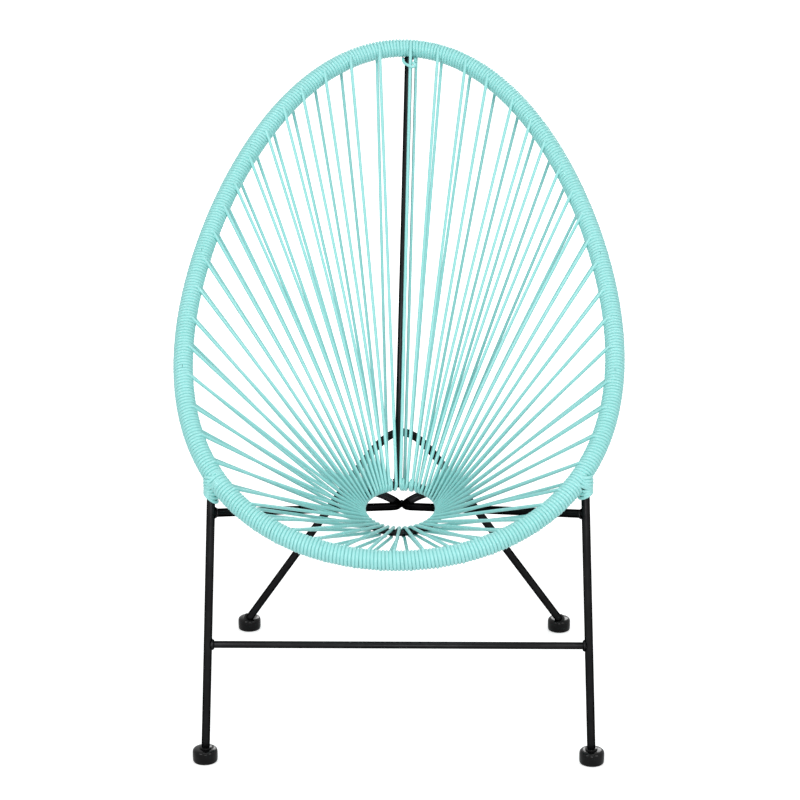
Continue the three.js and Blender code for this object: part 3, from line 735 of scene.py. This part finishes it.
bpy.ops.object.select_all(action="DESELECT")
bpy.ops.mesh.primitive_torus_add(major_radius=HUB_RADIUS, minor_radius=HUB_ROD_RADIUS,
                                 major_segments=96, minor_segments=20, location=HUB_CENTRE,
                                 rotation=(HUB_TILT, 0, 0))
ring = bpy.context.view_layer.objects.active
bpy.ops.object.transform_apply(location=True, rotation=True, scale=True)
for vertex in ring.data.vertices:
    vertex.select = near_seam(vertex.co)
for part in (*ring.data.edges, *ring.data.polygons):
    part.select = False
seam_size = sum(vertex.select for vertex in ring.data.vertices)
bpy.ops.object.mode_set(mode="EDIT")
bpy.ops.mesh.select_mode(type="VERT")
bpy.ops.transform.shrink_fatten(value=SEAM_HEIGHT)
bpy.ops.transform.vertex_random(offset=SEAM_ROUGHNESS, uniform=0.3, normal=0.5, seed=4)
bpy.ops.object.mode_set(mode="OBJECT")
hub = settle(ring, "hub", steel, 80)
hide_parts("hub_ring")
print("hub:", triangles(hub), "triangles, points in its seam:", seam_size)

# %% [markdown]
# ## Weld beads
# A rod is welded where it meets the next one, with a small uneven collar of metal under the same
# black coat. Remeshing the rods into one would also round the joints, but it would fuse pieces that
# are separate. A torus round the thinner rod, with its points moved at random, looks right and keeps
# them apart. The beads sit where the stretcher meets the legs, where the braces meet the legs, the
# arch and each other, and where the spine meets the arch and the hub.

# %% A bead round a joint
BEAD_ROUGHNESS = 1 / 4


def bead(place, along, radius, thickness, seed):
    bpy.ops.object.select_all(action="DESELECT")
    bpy.ops.mesh.primitive_torus_add(major_radius=radius, minor_radius=thickness, major_segments=28,
                                     minor_segments=10, location=place,
                                     rotation=along.to_track_quat("Z", "Y").to_euler())
    bpy.ops.object.mode_set(mode="EDIT")
    bpy.ops.mesh.select_all(action="SELECT")
    bpy.ops.transform.vertex_random(offset=thickness * BEAD_ROUGHNESS, uniform=0.2, normal=0.5,
                                    seed=seed)
    bpy.ops.object.mode_set(mode="OBJECT")
    return bpy.context.view_layer.objects.active


def weld(name, place, along, size, seed):
    """The size is the bead's radius and thickness."""
    return settle(bead(place, along, *size, seed), name, steel, 80)


print("bead helpers ready")

# %% Weld the joints
STRETCHER_BEAD, STRETCHER_BEAD_INSET = (0.0058, 0.0023), 0.0066
BRACE_BEAD, BRACE_BEAD_INSET = (0.0063, 0.0020), 0.0075
MEETING_BEAD, CROWN_BEAD, HUB_BEAD = (0.0042, 0.0019), (0.0048, 0.0019), (0.0058, 0.0019)
HUB_BEAD_INSET = 0.0078
across = Vector((1, 0, 0))

beads = []
for name, side in (("left", 1), ("right", -1)):
    beads.append(weld(f"weld_stretcher_{name}",
                      leg_at(side, STRETCHER_HEIGHT) - across * (side * STRETCHER_BEAD_INSET),
                      across, STRETCHER_BEAD, 3 + side))
    points = brace_points(side)
    for where, near, far in (("front", points[0], points[1]), ("rear", points[-1], points[-2])):
        along = (far - near).normalized()
        beads.append(weld(f"weld_brace_{where}_{name}", near + along * BRACE_BEAD_INSET, along,
                          BRACE_BEAD, 5 + side))
middle_point = BRACE_BEND_STEPS // 2 + 1
braces_meet = (brace_points(1)[middle_point] + brace_points(-1)[middle_point]) / 2
beads.append(weld("weld_braces", braces_meet, across, MEETING_BEAD, 13))
spine_at_crown = spine_low + spine_along * ((crown.z - spine_low.z) / spine_along.z)
beads.append(weld("weld_spine_arch", (spine_at_crown + crown) / 2, spine_behind, CROWN_BEAD, 9))
beads.append(weld("weld_spine_hub", spine_low + spine_along * HUB_BEAD_INSET, spine_along, HUB_BEAD, 11))
print("weld beads:", len(beads))

# %% [markdown]
# ## Foot caps
# Push-on caps of moulded plastic: a squat drum with a slightly bulging wall and a rounded shoulder,
# and a short collar that grips the rod. A spun profile would do, but extruding is easier to follow: a
# disc is extruded upwards level by level, and each new edge is scaled to the drum's outline, as a
# turner would read it off a template.

# %% Four foot caps
CAP_OUTLINE = [(16, 0), (17.5, 0.7), (18.2, 2.2), (18.5, 5.5), (18.6, 10), (18.55, 14),
               (18.35, 16.5), (17.8, 18.2), (16.7, 19.4), (15.2, 20.1), (13, 20.5), (10.6, 20.8),
               (8.6, 21)]
CAP_SIDES = 56
COLLAR_LOW, COLLAR_HIGH, COLLAR_RADIUS, COLLAR_SIDES = 0.0185, 0.0232, 0.0092, 48


def foot_cap(foot):
    """The outline is a list of radius and height in millimetres, from the sole up."""
    bpy.ops.object.select_all(action="DESELECT")
    bpy.ops.mesh.primitive_circle_add(vertices=CAP_SIDES, radius=CAP_OUTLINE[0][0] * MILLI,
                                      fill_type="NGON", location=(foot.x, foot.y, 0))
    bpy.ops.object.mode_set(mode="EDIT")
    bpy.ops.mesh.select_all(action="SELECT")
    for (radius, height), (wider, higher) in zip(CAP_OUTLINE, CAP_OUTLINE[1:]):
        rise = (0, 0, (higher - height) * MILLI)
        bpy.ops.mesh.extrude_region_move(TRANSFORM_OT_translate={"value": rise})
        bpy.ops.transform.resize(value=(wider / radius, wider / radius, 1))
    bpy.ops.mesh.select_all(action="SELECT")
    bpy.ops.mesh.normals_make_consistent(inside=False)
    bpy.ops.object.mode_set(mode="OBJECT")
    return bpy.context.view_layer.objects.active


def collar(rod_at, side):
    """A short sleeve in line with the rod, where it goes into the cap."""
    return rod_between(rod_at(side, COLLAR_LOW), rod_at(side, COLLAR_HIGH), COLLAR_RADIUS, COLLAR_SIDES)


for name, foot, rod_at, side, node in (
        ("front_left", leg_at(1, 0), leg_at, 1, "front_foot_cap_left"),
        ("front_right", leg_at(-1, 0), leg_at, -1, "front_foot_cap_right"),
        ("rear_left", rear_cap_at(1), arch_leg_at, 1, "rear_foot_cap_left"),
        ("rear_right", rear_cap_at(-1), arch_leg_at, -1, "rear_foot_cap_right")):
    cap = joined(foot_cap(foot), collar(rod_at, side))
    cap = settle(cap, f"foot_cap_{name}", cap_plastic)
    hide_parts(node)
print("foot cap:", triangles(cap), "triangles")

# %% [markdown]
# ## Lashings
# At each front leg the cord binds the leg's head to the rim. First it goes round both together, in
# belts that grow as the leg leaves the rim. Then it goes round the leg alone, in turns that slant
# more and more, high on the outside and low where the leg parts from the rim, and it ends behind the
# leg. Separate rings would be easier, but they would not read as one cord, so the whole lashing is
# one route: each point lies on the rim or on the leg, whichever reaches further its way.

# %% Where rim and leg pass each other
LASHING_BELTS, LASHING_RINGS, LASHING_STEPS = 4, {1: 2.7, -1: 3.7}, 36
LASHING_START, LASHING_RIM_PITCH, LASHING_LEG_PITCH = -0.0045, 0.0050, 0.0048
LASHING_RING_PITCH, LASHING_FIRST_TILT, LASHING_MORE_TILT = 0.0043, -0.35, 0.28
LASHING_ROD_REACH, LASHING_SWELL = ROD_RADIUS + CORD_RADIUS + CLEARANCE, 0.0010
LASHING_SIDES, LASHING_BEHIND = 12, 0.9


def crossing(side):
    """The rim's place nearest to the leg's line, its direction, and the leg's place and direction."""
    rim_point, tangent, _ = rim_at(side * LEG_PLACE)
    along = tangent * side
    down = (leg_at(side, 0) - leg_head(side)).normalized()
    apart = leg_head(side) - rim_point
    lean = along.dot(down)
    square = 1 - lean * lean
    rim_shift = (apart.dot(along) - lean * apart.dot(down)) / square
    leg_shift = (lean * apart.dot(along) - apart.dot(down)) / square
    return LEG_PLACE + rim_shift, along, leg_head(side) + down * leg_shift, down


print("the left leg passes the rim at", round(crossing(1)[0], 4), "m from its top")


# %% Belts, then slanting turns
def ring_point(centre, axis, radius, heading):
    square = heading - axis * axis.dot(heading)
    return centre + square.normalized() * radius


def belt_point(side, turn, heading, middle):
    """Where a turn lies that way: on the rim, and on the leg."""
    rim_place, _, leg_start, down = middle
    rim_length = side * (rim_place + LASHING_START + LASHING_RIM_PITCH * turn)
    rim_centre, tangent, _ = rim_at(rim_length)
    leg_centre = leg_start + down * (LASHING_START + LASHING_LEG_PITCH * turn)
    swell = LASHING_SWELL * sin(pi * min(turn / LASHING_BELTS, 1))
    return (ring_point(rim_centre, tangent, WRAP_RADIUS, heading),
            ring_point(leg_centre, down, LASHING_ROD_REACH + swell, heading))


def slant(side, rings, on_leg, middle):
    """Move a point of a turn round the leg down its line, by how far it lies on the inside."""
    _, _, leg_start, down = middle
    inward = Vector((-side, 0, 0))
    inward = (inward - down * down.dot(inward)).normalized()
    lower = (on_leg - leg_start).dot(inward) * (LASHING_FIRST_TILT + LASHING_MORE_TILT * rings)
    start = LASHING_ROD_REACH * LASHING_FIRST_TILT
    return on_leg + down * (lower + start + (LASHING_RING_PITCH - LASHING_LEG_PITCH) * rings)


def lashing_route(side):
    """The turns go on until the cord has come round behind the leg."""
    middle = crossing(side)
    _, along, _, down = middle
    level = along.cross(down).normalized()
    towards = level.cross((along + down).normalized())
    points, off_rim, heading, i = [], False, level, 0
    while i <= (LASHING_BELTS + LASHING_RINGS[side]) * LASHING_STEPS or heading.y < LASHING_BEHIND:
        turn = i / LASHING_STEPS
        angle = side * (2 * pi * turn - pi / 2) + (pi if side < 0 else 0)
        heading = level * cos(angle) + towards * sin(angle)
        on_rim, on_leg = belt_point(side, turn, heading, middle)
        leg_further = on_leg.dot(heading) > on_rim.dot(heading)
        off_rim = off_rim or (leg_further and turn > LASHING_BELTS)
        if off_rim:
            on_leg = slant(side, turn - LASHING_BELTS, on_leg, middle)
        points.append(on_leg if leg_further or off_rim else on_rim)
        i += 1
    return points


for name, side in (("left", 1), ("right", -1)):
    lashing = swept("lashing", [lashing_route(side)], CORD_RADIUS, LASHING_SIDES)
    lashing = settle(lashing, f"lashing_{name}", vinyl, 80)
    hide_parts(f"leg_lashing_{name}")
print("lashing:", triangles(lashing), "triangles")

# %% [markdown]
# ## The knot at the top
# Just under the rim the end of the cord is hitched round the spine and the cord in front of it. A
# hitch has no formula worth the trouble, so its route is a few listed points: from the tail
# in front, round the spine's -X side and its back, and down on its +X side. A smooth curve runs
# through them.

# %% Tie the hitch
KNOT = [(7, -15, -21), (9, -16.5, -22.3), (10.6, -16.7, -24.3), (9.8, -16.2, -26.8), (6.2, -17, -28),
        (1.9, -16.2, -26.3), (-2.6, -12, -22.5), (-6.2, -8, -18.4), (-8.4, -3.5, -13), (-8.9, 2, -8),
        (-8.4, 7.5, -5.2), (-6, 12.5, -3), (-1.5, 15, -2.5), (3.5, 14.3, -3), (7.6, 10, -4.2),
        (9.6, 4, -6.3), (10.6, -3, -9.5), (10.9, -9, -13.5), (10.4, -12.8, -17.6)]
KNOT_DROP, KNOT_CORD_RADIUS, KNOT_STEPS, KNOT_SIDES = 0.0095, 0.0023, 6, 12


def tie_route():
    """Places are in millimetres from the spine's top: across, behind it and along it."""
    head = rim_at(0)[0] + Vector((SPINE_LEAN_HIGH, 0, 0))
    places = [head + Vector((x * MILLI, 0, 0)) + spine_behind * (y * MILLI)
              + spine_along * (z * MILLI - KNOT_DROP) for x, y, z in KNOT]
    return smooth_route(places, KNOT_STEPS)


def smooth_route(places, steps):
    """A curve through the places, with its direction at each set by the two beside it."""
    points = []
    for i in range(len(places) - 1):
        before, here, there, after = (places[max(i - 1, 0)], places[i], places[i + 1],
                                      places[min(i + 2, len(places) - 1)])
        for j in range(steps):
            t = j / steps
            points.append(0.5 * (2 * here + (there - before) * t
                                 + (2 * before - 5 * here + 4 * there - after) * t * t
                                 + (3 * here - before - 3 * there + after) * t ** 3))
    return points + [places[-1]]


knot = swept("knot", [tie_route()], KNOT_CORD_RADIUS, KNOT_SIDES)
knot = settle(knot, "cord_knot", vinyl, 80)
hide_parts("top_knot")
print("knot:", triangles(knot), "triangles")

# %% [markdown]
# ## The rim's tube
# The tube is hidden under the wrap, so the measured one stays and only gets the black coat.

# %% Coat the tube
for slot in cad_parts["rim_tube"].material_slots:
    slot.material = steel
print("the rim's tube has", steel.name)

# %% [markdown]
# ## Studio
# A pale floor under a white surround. A curved backdrop is the usual way, but a flat floor that glows
# more and more with distance fades into the surround with no edge, and it looks alike from all sides.
# The full white of the surround is for the camera, for reflections and for rays through clear
# things. Its light on the chair is half that, so that it doesn't flood the colours.


# %% The floor
def floor_material():
    """A matt white floor whose own glow grows with distance, so that it fades into the surround."""
    sheet = Sheet("studio_floor")
    away = sheet.node("ShaderNodeVectorMath", {"operation": "LENGTH"}, {0: sheet.place()},
                      output="Value")
    colour = sheet.blend(sheet.spread(away, 0.5, 2.6), (0.5, 0.5, 0.5), (1, 1, 1))
    lit = sheet.node("ShaderNodeBsdfDiffuse", {}, {"Color": (0.8, 0.8, 0.8, 1)})
    glow = sheet.node("ShaderNodeEmission", {}, {"Color": colour})
    seen = sheet.node("ShaderNodeAddShader", {}, {0: lit, 1: glow})
    rays = sheet.node("ShaderNodeLightPath", output="Is Camera Ray")
    return sheet.finish(sheet.node("ShaderNodeMixShader", {}, {0: rays, 1: lit, 2: seen}))


bpy.ops.object.select_all(action="DESELECT")
bpy.ops.mesh.primitive_plane_add(size=14, location=(0, 0, 0))
floor = bpy.context.view_layer.objects.active
floor.name = "floor"
floor.data.materials.append(floor_material())
print("floor ready")

# %% The surround
LIGHT_STRENGTH, SEEN_STRENGTH = 0.5, 1.0

world = bpy.data.worlds.new("surround")
bpy.context.scene.world = world
world.use_nodes = True
nodes, links = world.node_tree.nodes, world.node_tree.links
nodes.clear()
rays = nodes.new("ShaderNodeLightPath")
seen, clear = nodes.new("ShaderNodeMath"), nodes.new("ShaderNodeMath")
seen.operation = clear.operation = "ADD"
clear.use_clamp = True
links.new(rays.outputs["Is Camera Ray"], seen.inputs[0])
links.new(rays.outputs["Is Glossy Ray"], seen.inputs[1])
links.new(seen.outputs[0], clear.inputs[0])
links.new(rays.outputs["Is Transmission Ray"], clear.inputs[1])
level = nodes.new("ShaderNodeMapRange")
level.inputs["To Min"].default_value = LIGHT_STRENGTH
level.inputs["To Max"].default_value = SEEN_STRENGTH
links.new(clear.outputs[0], level.inputs["Value"])
sky = nodes.new("ShaderNodeBackground")
sky.inputs["Color"].default_value = (1, 1, 1, 1)
links.new(level.outputs["Result"], sky.inputs["Strength"])
out = nodes.new("ShaderNodeOutputWorld")
links.new(sky.outputs[0], out.inputs["Surface"])
print("surround ready")

# %% [markdown]
# ## Lamps and camera
# Cord and rods are thin, so hard light would cut them up with sharp shadows. Five square area lamps
# light them softly: one on each side in front, one above, a small low one in front that reaches under
# the seat, and one behind for the views from the back. The camera stands nearly four metres in
# front, a little towards +X and well above the seat, with a long lens that keeps the egg in shape.

# %% Soft lamps
LAMPS = [("left lamp", (-2.2, -2.6, 2.2), (0, 0, 0.6), 1.1, 38),
         ("right lamp", (2.4, -2.4, 2.0), (0, 0, 0.6), 1.1, 31),
         ("top lamp", (0, -0.3, 3.2), (0, 0, 0.5), 1.8, 20),
         ("low lamp", (0.2, -3.3, 0.75), (0, 0, 0.45), 0.65, 18),
         ("back lamp", (0.6, 3.4, 1.8), (0, 0, 0.6), 1.4, 36)]

for name, place, target, size, power in LAMPS:
    bpy.ops.object.light_add(type="AREA", location=place)
    lamp = bpy.context.view_layer.objects.active
    lamp.name, lamp.data.shape, lamp.data.size, lamp.data.energy = name, "SQUARE", size, power
    lamp.rotation_euler = (Vector(target) - Vector(place)).to_track_quat("-Z", "Y").to_euler()
print("lamps:", len(LAMPS))

# %% The camera
CAMERA_PLACE = (0.0748, -3.7571, 1.6894)
PITCH, YAW, ROLL = radians(17.947), radians(-1.149), radians(-0.245)
SENSOR_WIDTH, LENS = 36, 117.0

forward = Vector((sin(YAW) * cos(PITCH), cos(YAW) * cos(PITCH), -sin(PITCH)))
right = Vector((cos(YAW), -sin(YAW), 0))
up = right.cross(forward)
right, up = right * cos(ROLL) + up * sin(ROLL), up * cos(ROLL) - right * sin(ROLL)
bpy.ops.object.camera_add(location=CAMERA_PLACE)
camera = bpy.context.view_layer.objects.active
camera.rotation_euler = Matrix((right, up, -forward)).transposed().to_euler()
camera.data.sensor_width, camera.data.lens = SENSOR_WIDTH, LENS
bpy.context.scene.camera = camera
bpy.context.scene.view_settings.view_transform = "Standard"
print("camera at", tuple(round(v, 3) for v in camera.location))
